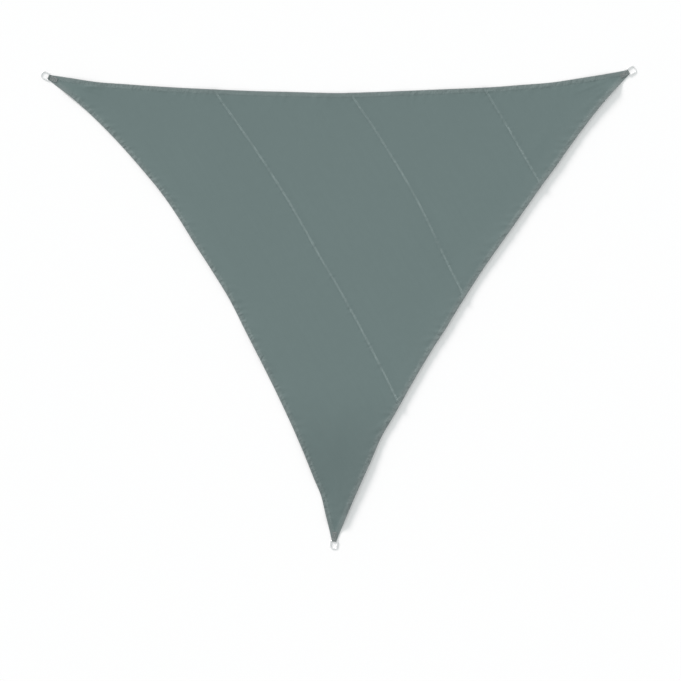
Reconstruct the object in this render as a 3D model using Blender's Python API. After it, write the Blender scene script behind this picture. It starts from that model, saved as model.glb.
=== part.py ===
"""Shade sail: a three-cornered sun canopy laid out face up on the ground.

Four lengths of shade cloth are lap-seamed side by side. The three long edges are cut
hollow and turned in a hem, and each corner holds a D-ring in a folded loop of webbing.

Metres, +Z up. The origin is on the ground below the middle of the sail's box. +X runs
along the longest side and +Y points away from the foot corner.
"""

import math
from dataclasses import dataclass

import bpy
import numpy as np
from mathutils import Vector
from mathutils.geometry import delaunay_2d_cdt

# Cloth
CLOTH = 0.0012  # thickness of one layer
HEM = 0.028  # width of the turned hem
HEM_LAYERS = 2
HEM_STEP = 0.001  # width of the hem's rolled inner edge
BLUNT_END = 0.032  # width of the cloth where a corner is cut off
GAP = 0.0003  # between neighbouring pieces

# Lap seams: the right-hand panel lies over the left-hand one
LAP = 0.015
LAP_LEVEL = LAP / 2 + 0.001  # the upper panel stays level this far past the seam's middle
LAP_RAMP = 0.009  # and then takes this far to come down to the ground

# Corner webbing and its ring
WEBBING = 0.0015  # thickness
WEBBING_WIDTH = 0.030
TAIL = 0.050  # how far both tails reach in from the blunt end
LOOP_OUT = 0.010  # how far the loop stands out past the blunt end
LOOP_SETTLE = 0.012  # length over which the upper tail comes down to the cloth
WIRE = 0.005  # ring wire diameter
RING_INSIDE = 0.036  # clear width inside the ring
RING_REACH = 0.048  # from the bar to the middle of the far side, on the wire's centre
RING_HEEL = 0.0045  # bend radius at the ends of the bar, on the wire's centre
RING_SHOULDER = 0.015  # bend radius at the far corners, on the wire's centre

# How the cloth lies
HEM_LIFT_REACH = 0.150  # a lifted edge comes back to the ground this far in
CORNER_FLAT = 0.062  # the cloth is level on its webbing this far from a corner
CORNER_FADE = 0.060  # and back on the ground this much further in
LIFT_FADE = 0.220  # the edges' lift grows from nothing over this distance

# Spacing of the mesh
EDGE_PITCH = 0.050
SEAM_PITCH = 0.070
FIELD_PITCH = 0.135
OVERRUN = 0.012  # how far a seam's lines run past the cloth before they are trimmed
WIRE_SIDES = 10
BEND_STEPS = 6


@dataclass(frozen=True)
class Corner:
    """The middle of a blunt cloth end, and the compass angle its ring points along."""

    at: tuple[float, float]
    heading: float

    def outward(self):
        angle = math.radians(self.heading)
        return np.array([math.cos(angle), math.sin(angle)])

    def sideways(self):
        out = self.outward()
        return np.array([-out[1], out[0]])

    def end(self, side):
        """One end of the blunt cut: side is +1 or -1."""
        return np.array(self.at) + side * BLUNT_END / 2 * self.sideways()


@dataclass(frozen=True)
class Wave:
    """One ripple of an edge: how many run along it, how high and how far shifted."""

    count: float
    height: float
    shift: float


@dataclass(frozen=True)
class Edge:
    """A hollow edge, clockwise from one corner to the next, with the cloth on its right.

    The hollow is 4t(1-t) times a cubic in u = 2t - 1, whose terms are depth, lean,
    shoulder and twist. t runs from 0 to 1 along the straight line between the corners.
    """

    start: str
    end: str
    hollow: tuple[float, float, float, float]
    lift: float
    waves: tuple[Wave, ...]

    def chord(self):
        a = CORNERS[self.start].end(-1)
        b = CORNERS[self.end].end(+1)
        length = math.hypot(*(b - a))
        along = (b - a) / length
        inward = np.array([along[1], -along[0]])
        return a, along, inward, length

    def sag(self, t):
        u = 2 * t - 1
        return 4 * t * (1 - t) * sum(c * u**k for k, c in enumerate(self.hollow))

    def slope(self, t):
        """The hollow's rate of change, in metres for each metre of the straight line."""
        small = 1e-4
        return (self.sag(t + small) - self.sag(t - small)) / (2 * small * self.chord()[3])

    def points(self, t, depth=0.0):
        """The edge, or the line that runs the given depth inside it, at each t."""
        a, along, inward, length = self.chord()
        slope = self.slope(t)
        steep = np.sqrt(1 + slope**2)
        ahead = t * length - depth * slope / steep
        inside = self.sag(t) + depth / steep
        return a + ahead[:, None] * along + inside[:, None] * inward

    def place(self, points):
        """For each point, its t along the edge and its depth inside the edge."""
        a, along, inward, length = self.chord()
        t = (points - a) @ along / length
        depth = ((points - a) @ inward - self.sag(t)) / np.sqrt(1 + self.slope(t) ** 2)
        return t, depth

    def rise(self, t):
        """How high the edge itself lies above the ground."""
        ripple = sum(w.height * np.sin(2 * math.pi * (w.count * t + w.shift)) for w in self.waves)
        return self.lift + ripple


@dataclass(frozen=True)
class Seam:
    """A seam from the top edge to the right edge, bowed a little to its right."""

    top_t: float
    right_t: float
    bow: float

    def line(self):
        a = EDGES["top"].points(np.array([self.top_t]))[0]
        b = EDGES["right"].points(np.array([self.right_t]))[0]
        length = math.hypot(*(b - a))
        along = (b - a) / length
        rightward = np.array([-along[1], along[0]])
        return a, along, rightward, length

    def points(self, t, offset):
        a, along, rightward, length = self.line()
        across = 4 * t * (1 - t) * self.bow + offset
        return a + (t * length)[:, None] * along + across[:, None] * rightward

    def offset(self, points):
        """How far each point lies to the right of the seam."""
        a, along, rightward, length = self.line()
        t = (points - a) @ along / length
        return (points - a) @ rightward - 4 * t * (1 - t) * self.bow


CORNERS = {
    "left": Corner(at=(-1.7705, 1.4105), heading=156.3),
    "right": Corner(at=(1.7715, 1.4405), heading=29.1),
    "foot": Corner(at=(-0.0265, -1.4250), heading=265.8),
}

EDGES = {
    "top": Edge(
        start="left",
        end="right",
        hollow=(0.1194, 0.0104, 0.0373, 0.0007),
        lift=0.0036,
        waves=(Wave(4.3, 0.0012, 0.10), Wave(9.2, 0.0009, 0.62), Wave(14.6, 0.0007, 0.35)),
    ),
    "right": Edge(
        start="right",
        end="foot",
        hollow=(0.1237, 0.0353, 0.0371, -0.0427),
        lift=0.0140,
        waves=(Wave(4.6, 0.0030, 0.85), Wave(8.7, 0.0022, 0.28), Wave(13.9, 0.0013, 0.54)),
    ),
    "left": Edge(
        start="foot",
        end="left",
        hollow=(0.2344, 0.0601, 0.0708, -0.0550),
        lift=0.0044,
        waves=(Wave(5.1, 0.0016, 0.40), Wave(8.4, 0.0011, 0.05), Wave(13.3, 0.0008, 0.77)),
    ),
}

SEAMS = (
    Seam(top_t=0.2844, right_t=0.7319, bow=0.044),
    Seam(top_t=0.5195, right_t=0.5059, bow=0.038),
    Seam(top_t=0.7515, right_t=0.2564, bow=0.005),
)

# Each panel lies between two seams, given by their place in SEAMS
PANELS = {
    "panel_left": (None, 0),
    "panel_mid_left": (0, 1),
    "panel_mid_right": (1, 2),
    "panel_right": (2, None),
}


def clear_scene():
    for thing in list(bpy.data.objects):
        bpy.data.objects.remove(thing)


def make_material(name, colour, roughness, metallic=0.0):
    material = bpy.data.materials.new(name)
    material.use_nodes = True
    shader = material.node_tree.nodes["Principled BSDF"]
    shader.inputs["Base Color"].default_value = (*colour, 1.0)
    shader.inputs["Roughness"].default_value = roughness
    shader.inputs["Metallic"].default_value = metallic
    return material


def add_object(name, vertices, faces, material):
    """Makes one named object from its points and faces, smooth but for real edges."""
    mesh = bpy.data.meshes.new(name)
    mesh.from_pydata([tuple(map(float, v)) for v in vertices], [], faces)
    mesh.materials.append(material)
    mesh.shade_smooth()
    mesh.set_sharp_from_angle(angle=math.radians(35))
    mesh.validate()
    piece = bpy.data.objects.new(name, mesh)
    bpy.context.scene.collection.objects.link(piece)
    return piece


def smooth_step(x):
    """0 below x = 0, 1 above x = 1, and level at both ends."""
    x = np.clip(x, 0.0, 1.0)
    return x * x * (3 - 2 * x)


# How the cloth lies


def edge_depths(points):
    return {name: edge.place(points)[1] for name, edge in EDGES.items()}


def cloth_thickness(points):
    """Two layers inside the hem's fold, one elsewhere."""
    nearest = np.min(list(edge_depths(points).values()), axis=0)
    hemmed = nearest < HEM - HEM_STEP / 2
    return np.where(hemmed, HEM_LAYERS * CLOTH, CLOTH)


def ground_clearance(points):
    """How far the cloth's underside is off the ground: lifted edges, and webbing below."""
    from_corner = np.min(
        [np.hypot(*(points - np.array(c.at)).T) for c in CORNERS.values()], axis=0
    )
    height = (WEBBING + GAP) * (1 - smooth_step((from_corner - CORNER_FLAT) / CORNER_FADE))
    grown = smooth_step((from_corner - CORNER_FLAT) / LIFT_FADE)
    for edge in EDGES.values():
        t, depth = edge.place(points)
        curl = np.clip(1 - np.maximum(depth, 0) / HEM_LIFT_REACH, 0, 1) ** 2
        height += grown * curl * edge.rise(np.clip(t, 0, 1))
    return height


def lap_height(points, seam):
    """How far a panel is held up by its left-hand neighbour under the lap."""
    share = np.clip((LAP_LEVEL + LAP_RAMP - seam.offset(points)) / LAP_RAMP, 0, 1)
    return share * (cloth_thickness(points) + GAP)


# The plan: one triangulation of the whole sail, which all the panels share


def mitre(edge_in, edge_out, depth):
    """The point at the given depth inside two edges, from their common corner."""
    corner = CORNERS[edge_out.start]
    point = np.array(corner.at) - 2 * depth * corner.outward()
    for _ in range(8):
        misses, normals = [], []
        for edge in (edge_in, edge_out):
            t, inside = edge.place(point[None])
            _, along, inward, _ = edge.chord()
            normal = inward - edge.slope(t)[0] * along
            normals.append(normal / math.hypot(*normal))
            misses.append(depth - inside[0])
        point = point + np.linalg.solve(np.array(normals), np.array(misses))
    return point


def closed_loop(points):
    n = len(points)
    return points, [(i, (i + 1) % n) for i in range(n)]


def outline():
    """The cut edge of the whole sail, clockwise, with its three blunt ends."""
    sides = []
    for edge in EDGES.values():
        steps = round(edge.chord()[3] / EDGE_PITCH)
        sides.append(edge.points(np.linspace(0, 1, steps + 1)))
    return closed_loop(np.concatenate(sides))


def hem_line(depth):
    """A loop at one depth inside all three edges, mitred at the corners."""
    names = list(EDGES)
    sides = []
    for i, name in enumerate(names):
        edge = EDGES[name]
        first = mitre(EDGES[names[i - 1]], edge, depth)
        last = mitre(edge, EDGES[names[(i + 1) % 3]], depth)
        t, _ = edge.place(np.array([first, last]))
        steps = round((t[1] - t[0]) * edge.chord()[3] / EDGE_PITCH)
        between = np.linspace(t[0], t[1], steps + 1)[1:-1]
        sides.append(np.concatenate([first[None], edge.points(between, depth)]))
    return closed_loop(np.concatenate(sides))


def seam_line(seam, offset):
    """A line beside a seam, running a little past the cloth at both ends."""
    length = seam.line()[3]
    past = OVERRUN / length
    steps = round(length / SEAM_PITCH)
    points = seam.points(np.linspace(-past, 1 + past, steps + 1), offset)
    return points, [(i, i + 1) for i in range(steps)]


def field_points():
    """Evenly staggered points over the open cloth, clear of the hems and seams."""
    rows = np.arange(-1.5, 1.5, FIELD_PITCH * math.sqrt(3) / 2)
    columns = np.arange(-1.9, 1.9, FIELD_PITCH)
    x, y = np.meshgrid(columns, rows)
    x = x + np.where(np.arange(len(rows)) % 2, FIELD_PITCH / 2, 0)[:, None]
    points = np.stack([x.ravel(), y.ravel()], axis=1)
    clear = np.min(list(edge_depths(points).values()), axis=0) > HEM + EDGE_PITCH * 0.7
    for seam in SEAMS:
        clear &= np.abs(seam.offset(points)) > SEAM_PITCH * 0.7
    return points[clear]


def plan_mesh():
    """Points and triangles of the sail in plan, with every fold and lap line in it."""
    lines = [outline(), hem_line(HEM - HEM_STEP), hem_line(HEM)]
    for seam in SEAMS:
        for offset in (-LAP / 2, LAP / 2, LAP_LEVEL, LAP_LEVEL + LAP_RAMP):
            lines.append(seam_line(seam, offset))
    points, links = [], []
    for line_points, line_links in lines:
        links += [(a + len(points), b + len(points)) for a, b in line_links]
        points += list(line_points)
    points += list(field_points())
    found = delaunay_2d_cdt([Vector(p) for p in points], links, [], 0, 1e-6)
    spots = np.array([v[:] for v in found[0]])
    triangles = np.array(found[2])
    a, b, c = (spots[triangles[:, i]] for i in range(3))
    turn = (b - a)[:, 0] * (c - a)[:, 1] - (b - a)[:, 1] * (c - a)[:, 0]
    triangles[turn < 0] = triangles[turn < 0][:, ::-1]
    middle = (a + b + c) / 3
    inside = np.min(list(edge_depths(middle).values()), axis=0) > 0
    for corner in CORNERS.values():
        inside &= (middle - np.array(corner.at)) @ corner.outward() < 0
    return spots, triangles[inside]


# Pieces


def slab(spots, triangles, bottom, top):
    """A closed solid between two height fields over the same triangles."""
    used, flat = np.unique(triangles, return_inverse=True)
    triangles = flat.reshape(-1, 3)
    n = len(used)
    vertices = np.concatenate(
        [
            np.column_stack([spots[used], bottom[used]]),
            np.column_stack([spots[used], top[used]]),
        ]
    )
    sides = {(int(t[i]), int(t[(i + 1) % 3])) for t in triangles for i in range(3)}
    rim = sorted((a, b) for a, b in sides if (b, a) not in sides)
    faces = [tuple(int(i) + n for i in t) for t in triangles]
    faces += [tuple(int(i) for i in t[::-1]) for t in triangles]
    faces += [(a, b, b + n, a + n) for a, b in rim]
    return vertices, faces


def make_panels(material):
    spots, triangles = plan_mesh()
    middle = spots[triangles].mean(axis=1)
    ground = ground_clearance(spots)
    thickness = cloth_thickness(spots)
    for name, (left, right) in PANELS.items():
        mine = np.ones(len(triangles), dtype=bool)
        bottom = ground.copy()
        if left is not None:
            mine &= SEAMS[left].offset(middle) > -LAP / 2
            bottom += lap_height(spots, SEAMS[left])
        if right is not None:
            mine &= SEAMS[right].offset(middle) < LAP / 2
        vertices, faces = slab(spots, triangles[mine], bottom, bottom + thickness)
        add_object(name, vertices, faces, material)


def corner_frame(corner, points):
    """Turns points from a corner's own axes (outward, sideways, up) into the sail's."""
    out, side = corner.outward(), corner.sideways()
    flat = np.array(corner.at) + points[:, :1] * out + points[:, 1:2] * side
    return np.column_stack([flat, points[:, 2]])


def bar_place():
    """The ring's bar, from the blunt end and the ground."""
    loop_radius = WIRE / 2 + GAP + WEBBING
    return LOOP_OUT - loop_radius, loop_radius


def webbing_path():
    """The middle of the webbing: lower tail, round the bar, then down to the upper tail."""
    bar_out, bar_up = bar_place()
    radius = bar_up - WEBBING / 2
    upper_tail = WEBBING + GAP + HEM_LAYERS * CLOTH + GAP + WEBBING / 2
    angles = np.linspace(-math.pi / 2, math.pi / 2, 2 * BEND_STEPS + 1)
    turn = np.column_stack([bar_out + radius * np.cos(angles), bar_up + radius * np.sin(angles)])
    share = np.linspace(0, 1, BEND_STEPS + 1)[1:]
    fall = np.column_stack(
        [
            bar_out - share * LOOP_SETTLE,
            bar_up + radius + (upper_tail - bar_up - radius) * smooth_step(share),
        ]
    )
    return np.concatenate([[[-TAIL, WEBBING / 2]], turn, fall, [[-TAIL, upper_tail]]])


def make_strap(name, corner, material):
    """A flat ribbon that follows the webbing's path, square at both ends."""
    path = webbing_path()
    ahead = np.diff(path, axis=0)
    ahead /= np.hypot(*ahead.T)[:, None]
    tangent = np.concatenate([ahead[:1], ahead[:-1] + ahead[1:], ahead[-1:]])
    tangent /= np.hypot(*tangent.T)[:, None]
    normal = np.column_stack([-tangent[:, 1], tangent[:, 0]])
    # A mitred corner keeps the ribbon's full thickness on both sides of a bend
    stretch = 1 / np.concatenate([[1], np.sum(tangent[1:-1] * ahead[1:], axis=1), [1]])
    half = (WEBBING / 2 * stretch)[:, None] * normal
    rows = []
    for side in (-1, 1):
        for face in (path + half, path - half):
            width = np.full(len(path), side * WEBBING_WIDTH / 2)
            rows.append(np.column_stack([face[:, 0], width, face[:, 1]]))
    n = len(path)
    faces = []
    for i in range(n - 1):
        j = i + 1
        faces += [
            (i, j, 2 * n + j, 2 * n + i),
            (n + i, 3 * n + i, 3 * n + j, n + j),
            (i, n + i, n + j, j),
            (2 * n + i, 2 * n + j, 3 * n + j, 3 * n + i),
        ]
    last = n - 1
    faces += [
        (0, 2 * n, 3 * n, n),
        (last, n + last, 3 * n + last, 2 * n + last),
    ]
    return add_object(name, corner_frame(corner, np.concatenate(rows)), faces, material)


def arc(centre, radius, start, end):
    angles = np.radians(np.linspace(start, end, BEND_STEPS + 1))
    return np.column_stack(
        [centre[0] + radius * np.cos(angles), centre[1] + radius * np.sin(angles)]
    )


def ring_path():
    """The wire's centre line in the ring's own plane: a bar, two legs and a round far side."""
    half = (RING_INSIDE + WIRE) / 2
    heel, shoulder = RING_HEEL, RING_SHOULDER
    return np.concatenate(
        [
            arc((heel, -half + heel), heel, 180, 270),
            arc((RING_REACH - shoulder, -half + shoulder), shoulder, 270, 360),
            arc((RING_REACH - shoulder, half - shoulder), shoulder, 0, 90),
            arc((heel, half - heel), heel, 90, 180),
        ]
    )


def make_ring(name, corner, material):
    """A round wire along the ring's path, tipped so that its far side rests on the ground."""
    bar_out, bar_up = bar_place()
    path = ring_path()
    ahead = np.roll(path, -1, axis=0) - np.roll(path, 1, axis=0)
    ahead /= np.hypot(*ahead.T)[:, None]
    outside = np.column_stack([ahead[:, 1], -ahead[:, 0]])
    radius = WIRE / 2
    around = np.linspace(0, 2 * math.pi, WIRE_SIDES, endpoint=False)
    flat = path[:, None] + radius * np.cos(around)[None, :, None] * outside[:, None]
    up = np.broadcast_to(radius * np.sin(around), flat.shape[:2])
    half_side = math.pi / WIRE_SIDES
    lowest_out = RING_REACH + radius * math.sin(half_side)
    tip = math.asin((bar_up - radius * math.cos(half_side)) / lowest_out)
    points = np.stack(
        [
            bar_out + flat[..., 0] * math.cos(tip) + up * math.sin(tip),
            flat[..., 1],
            bar_up - flat[..., 0] * math.sin(tip) + up * math.cos(tip),
        ],
        axis=-1,
    ).reshape(-1, 3)
    n, m = len(path), WIRE_SIDES
    faces = []
    for i in range(n):
        for j in range(m):
            k = (j + 1) % m
            following = (i + 1) % n
            faces.append((i * m + j, following * m + j, following * m + k, i * m + k))
    return add_object(name, corner_frame(corner, points), faces, material)


def main():
    clear_scene()
    cloth = make_material("shade_cloth", (0.155, 0.209, 0.205), 0.85)
    webbing = make_material("webbing", (0.150, 0.195, 0.190), 0.80)
    steel = make_material("steel", (0.72, 0.73, 0.74), 0.22, metallic=1.0)
    make_panels(cloth)
    for place, corner in CORNERS.items():
        make_strap(f"strap_{place}", corner, webbing)
        make_ring(f"ring_{place}", corner, steel)


main()
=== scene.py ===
"""Looks of a three-cornered shade sail, laid out face up on a pale studio floor.

Four panels of knitted cloth are lap-seamed side by side. Their outer edges are cut hollow
and turned in a hem, and each corner holds a wire D-ring in a folded loop of webbing.
Metres, +Z up, with the frame's own origin: on the floor below the middle of the sail.

The plan is driven by three corners, three edges and three seams. Every surface is a grid of
two parameters, worked out as whole arrays.
"""

import logging
import math
from collections.abc import Callable
from dataclasses import dataclass, field
from enum import Enum

import bpy
import numpy as np
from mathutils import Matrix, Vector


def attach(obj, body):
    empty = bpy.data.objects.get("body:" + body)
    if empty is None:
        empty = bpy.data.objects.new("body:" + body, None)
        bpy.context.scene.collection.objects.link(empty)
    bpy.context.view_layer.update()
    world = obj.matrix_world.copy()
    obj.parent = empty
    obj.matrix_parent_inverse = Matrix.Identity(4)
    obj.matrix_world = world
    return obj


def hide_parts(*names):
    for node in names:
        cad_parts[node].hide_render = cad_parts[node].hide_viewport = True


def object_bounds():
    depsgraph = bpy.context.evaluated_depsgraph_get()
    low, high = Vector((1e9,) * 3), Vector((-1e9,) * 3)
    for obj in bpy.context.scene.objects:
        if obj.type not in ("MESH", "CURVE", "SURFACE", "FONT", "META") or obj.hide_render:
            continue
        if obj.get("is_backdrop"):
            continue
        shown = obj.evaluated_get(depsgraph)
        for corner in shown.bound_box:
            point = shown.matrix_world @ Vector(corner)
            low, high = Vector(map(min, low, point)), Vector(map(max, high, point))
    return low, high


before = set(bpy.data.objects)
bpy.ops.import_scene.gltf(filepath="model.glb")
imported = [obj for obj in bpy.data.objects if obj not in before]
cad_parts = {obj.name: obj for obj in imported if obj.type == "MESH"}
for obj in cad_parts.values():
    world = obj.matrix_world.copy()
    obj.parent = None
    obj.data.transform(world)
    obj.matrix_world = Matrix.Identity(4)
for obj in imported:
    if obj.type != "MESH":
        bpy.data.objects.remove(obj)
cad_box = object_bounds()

log = logging.getLogger("shade_sail")

Array = np.ndarray
MeshData = tuple[Array, Array, Array]  # points, four-sided faces and map coordinates
Colour = tuple[float, float, float]
Range = tuple[float, float]
Rows = tuple[tuple[float, float, float], ...]
Field = Callable[[Array], Array]  # a distance, at each of many points
Piece = bpy.types.Object
Material = bpy.types.Material
Node = bpy.types.Node
Socket = bpy.types.NodeSocket

BODY = "root"
ROLL_MAP = "roll"  # each piece's own map, in metres along and across its cloth, webbing or wire
MARKS = "marks"  # an attribute of the cloth: how near its rim and its seams, and its edges' painted light and shade
PULLS = "pulls"  # how much the stitching tucks the cloth up by the top, right and left edge
TURN = 2 * math.pi
SMALL_STEP = 1e-6  # for slopes taken by small differences
NEWTON_ROUNDS = 14


class Face(Enum):
    """The two faces of the cloth. The value is the way that a stitch stands out of it."""

    UPPER = 1.0
    UNDER = -1.0


# Shapes of curves


def smooth_step(x: Array) -> Array:
    """0 below x = 0, 1 above x = 1, and level at both ends: 3x^2 - 2x^3 between."""
    x = np.clip(x, 0.0, 1.0)
    return x * x * (3 - 2 * x)


def bell(x: Array) -> Array:
    """1 at x = 0, falling off as exp(-x^2)."""
    return np.exp(-np.square(x))


def bells(rows: Rows, t: Array) -> Array:
    """The sum of bells along a line, each given by its t, its reach in t and its height."""
    return sum(height * bell((t - at) / reach) for at, reach, height in rows)


def ripple(x: Array) -> Array:
    """Goes between 0 and 1 once for each whole step of x: (1 + sin 2 pi x) / 2."""
    return 0.5 + 0.5 * np.sin(TURN * x)


def soft_min(a: Array, b: Array, blend: float = 0.002) -> Array:
    """The lower of two fields, with the crease between them rounded over the blend."""
    return (a + b - np.sqrt(np.square(a - b) + blend**2)) / 2


def unit(vectors: Array) -> Array:
    """Vectors brought to length 1, along the last axis."""
    return vectors / np.linalg.norm(vectors, axis=-1, keepdims=True)


def compass(degrees: float) -> Array:
    """The unit direction at an angle in plan, from +X towards +Y."""
    angle = math.radians(degrees)
    return np.array([math.cos(angle), math.sin(angle)])


def left_of(directions: Array) -> Array:
    """Directions in plan, each turned a quarter to its left."""
    return np.stack([-directions[..., 1], directions[..., 0]], axis=-1)


def level(points: Array, height: float) -> Array:
    """Adds one more coordinate, the same for every point."""
    return np.column_stack([points, np.full(len(points), height)])


def travelled(points: Array) -> Array:
    """How far along a polyline each of its points lies."""
    return np.concatenate([[0.0], np.cumsum(np.linalg.norm(np.diff(points, axis=0), axis=1))])


def along_curve(points: Array, spots: Array) -> Array:
    """The points at the given distances along a polyline."""
    return np.column_stack([np.interp(spots, travelled(points), axis) for axis in points.T])


# The sail in plan


@dataclass(frozen=True)
class Line:
    """A straight line in plan, with a direction to one of its sides."""

    start: Array
    along: Array
    aside: Array
    length: float

    @classmethod
    def joining(cls, first: Array, last: Array, side: int = 1) -> "Line":
        """The line between two points, with the side to its left, or for -1 to its right."""
        length = float(np.linalg.norm(last - first))
        along = (last - first) / length
        return cls(first, along, side * left_of(along), length)

    def points(self, run: Array, offset: Array) -> Array:
        """The points that lie so far along the line and so far to its side."""
        return self.start + run[:, None] * self.along + offset[:, None] * self.aside

    def place(self, points: Array) -> tuple[Array, Array]:
        """How far along the line each point lies, and how far to its side."""
        return (points - self.start) @ self.along, (points - self.start) @ self.aside


@dataclass(frozen=True)
class Corner:
    """The middle of a blunt cloth end, and the angle in plan that its ring points along."""

    name: str
    at: tuple[float, float]
    heading: float
    blunt_end: float = 0.032

    @property
    def middle(self) -> Array:
        """The middle of the blunt cut."""
        return np.array(self.at)

    @property
    def outward(self) -> Array:
        """The unit direction out of the sail."""
        return compass(self.heading)

    @property
    def sideways(self) -> Array:
        """The unit direction along the blunt end."""
        return left_of(self.outward)

    def end(self, side: int) -> Array:
        """One end of the blunt cut: side is +1 or -1."""
        return self.middle + side * self.blunt_end / 2 * self.sideways

    def depth(self, points: Array) -> Array:
        """How far each point lies inside the line of the blunt cut."""
        return (self.middle - points) @ self.outward

    def distance(self, points: Array) -> Array:
        """How far each point lies from the middle of the blunt cut."""
        return np.linalg.norm(points - self.middle, axis=-1)

    def place(self, local: Array) -> Array:
        """Turns points from the corner's axes (outward, sideways, up) into the sail's."""
        flat = self.middle + local[..., :1] * self.outward + local[..., 1:2] * self.sideways
        return np.concatenate([flat, local[..., 2:]], axis=-1)


@dataclass(frozen=True)
class Gathers:
    """The small uneven gathers that a hem's stitching draws into the cloth beside it."""

    height: float
    spacing: float
    lean: float  # how far a gather runs along the edge for each metre that it runs inward
    start: float  # where along the edge the unevenness begins
    crest: float = 0.024  # depth inside the edge at which a gather is highest
    outer_reach: float = 0.026
    inner_reach: float = 0.042
    wander: tuple[Range, ...] = ((0.31, 0.47), (0.19, 0.193))  # shift, over metres
    swells: Range = (0.71, 0.29)  # the metres over which they grow and shrink
    least: Range = (0.30, 0.40)  # the shares of their size that they shrink to

    def rise(self, run: Array, depth: Array) -> Array:
        """The height that the gathers add.

        Each gather is a squared ripple along the edge. Two slower sines shift it to and
        fro, two more make it larger and smaller, and a bell across the edge fades it out.

        Args:
            run: Distance along the edge, in metres.
            depth: Distance inside the edge, in metres.

        Returns:
            Heights in metres.
        """
        place = run + self.start
        wander = sum(shift * np.sin(TURN * place / over) for shift, over in self.wander)
        crest = ripple(place / self.spacing + wander + self.lean * depth / self.spacing) ** 2
        (long, short), (low, dip) = self.swells, self.least
        size = low + (1 - low) * ripple(place / long) * (dip + (1 - dip) * ripple(place / short))
        reach = np.where(depth < self.crest, self.outer_reach, self.inner_reach)
        return self.height * crest * size * bell((depth - self.crest) / reach)


@dataclass(frozen=True)
class Edge:
    """A hollow edge, clockwise from one corner to the next, with the cloth on its right.

    The hollow is 4t(1-t) times a cubic in u = 2t - 1, whose terms are depth, lean,
    shoulder and twist. t runs from 0 to 1 along the straight line between the corners.
    """

    name: str
    start: Corner
    end: Corner
    hollow: tuple[float, float, float, float]
    sways: Rows  # small hollows: t, reach in t, and depth
    waves: Rows  # ripples of its height: how many run along it, how high, and how far shifted
    gathers: Gathers
    lift: float
    tone: float  # painted light and shade: how much lighter or darker the lifted cloth is coloured, to offset how its slope catches the low light
    pull: float  # how strongly its stitching tucks the cloth up
    slacker: Rows = ()  # where it pulls less: t, reach in t, and change
    paleness: float = 1.0  # how pale its folded edge is
    sway_fade: float = 0.06  # the share of its length over which the sways die out at its ends

    def chord(self) -> Line:
        """The straight line between its ends, whose side is inward."""
        return Line.joining(self.start.end(-1), self.end.end(+1), side=-1)

    def sag(self, t: Array) -> Array:
        """How far the edge lies inside the straight line."""
        u = 2 * t - 1
        hollow = 4 * t * (1 - t) * sum(c * u**k for k, c in enumerate(self.hollow))
        fade = smooth_step(t / self.sway_fade) * smooth_step((1 - t) / self.sway_fade)
        return hollow + fade * bells(self.sways, t)

    def slope(self, t: Array) -> Array:
        """The hollow's rate of change, in metres for each metre of the straight line."""
        small = 1e-4
        return (self.sag(t + small) - self.sag(t - small)) / (2 * small * self.chord().length)

    def points(self, t: Array, depth: float = 0.0) -> Array:
        """The line that runs the given depth inside the edge.

        Args:
            t: Places from 0 to 1.
            depth: Distance inside the edge, at a right angle to it.

        Returns:
            One point in plan for each place.
        """
        chord, slope = self.chord(), self.slope(t)
        steep = np.sqrt(1 + slope**2)
        return chord.points(t * chord.length - depth * slope / steep, self.sag(t) + depth / steep)

    def place(self, points: Array) -> tuple[Array, Array]:
        """Finds each point's t along the edge and its depth inside it."""
        chord = self.chord()
        run, inside = chord.place(points)
        t = run / chord.length
        return t, (inside - self.sag(t)) / np.sqrt(1 + self.slope(t) ** 2)

    def depth(self, points: Array) -> Array:
        """How far each point lies inside the edge."""
        return self.place(points)[1]

    def rise(self, t: Array) -> Array:
        """How high the edge itself lies above the floor."""
        waves = (height * np.sin(TURN * (count * t + shift)) for count, height, shift in self.waves)
        return self.lift + sum(waves)


@dataclass(frozen=True)
class Seam:
    """A lap seam from the top edge to the right edge, bowed and swaying a little."""

    top_t: float
    right_t: float
    bow: float
    sways: Rows  # small bends: t, reach in t, and depth
    lap: float = 0.015  # overlap of the two panels, with the right-hand one on top

    def ends(self) -> tuple[Array, Array]:
        """The points where it meets the top and the right edge."""
        places = (TOP_EDGE, self.top_t), (RIGHT_EDGE, self.right_t)
        return tuple(edge.points(np.array([t]))[0] for edge, t in places)

    def line(self) -> Line:
        """The straight line below the bow, whose side is the sail's right."""
        return Line.joining(*self.ends())

    def bend(self, t: Array) -> Array:
        """How far the seam runs to the right of its straight line."""
        return 4 * t * (1 - t) * self.bow + bells(self.sways, t)

    def points(self, t: Array, offset: float) -> Array:
        """The line beside the seam at the given offset, at each t from 0 to 1."""
        line = self.line()
        return line.points(t * line.length, self.bend(t) + offset)

    def offset(self, points: Array) -> Array:
        """How far each point lies to the right of the seam."""
        line = self.line()
        run, across = line.place(points)
        return across - self.bend(run / line.length)

    def inside_upper(self, points: Array) -> Array:
        """Distance inside the edge of the panel that lies on top, to the seam's right."""
        return self.offset(points) + self.lap / 2

    def inside_lower(self, points: Array) -> Array:
        """Distance inside the edge of the panel that lies below, to the seam's left."""
        return self.lap / 2 - self.offset(points)


@dataclass(frozen=True)
class Crease:
    """A soft ridge in the open cloth, from a start to an end point.

    Along it the height is 27/4 u(1-u)^2, which is highest a third of the way; across it
    the height is a bell.
    """

    start: tuple[float, float]
    end: tuple[float, float]
    width: float
    height: float

    def rise(self, points: Array) -> Array:
        """The height that the crease adds at each point."""
        line = Line.joining(np.array(self.start), np.array(self.end))
        run, across = line.place(points)
        u = np.clip(run / line.length, 0, 1)
        return self.height * 6.75 * u * (1 - u) ** 2 * bell(across / self.width)


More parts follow.
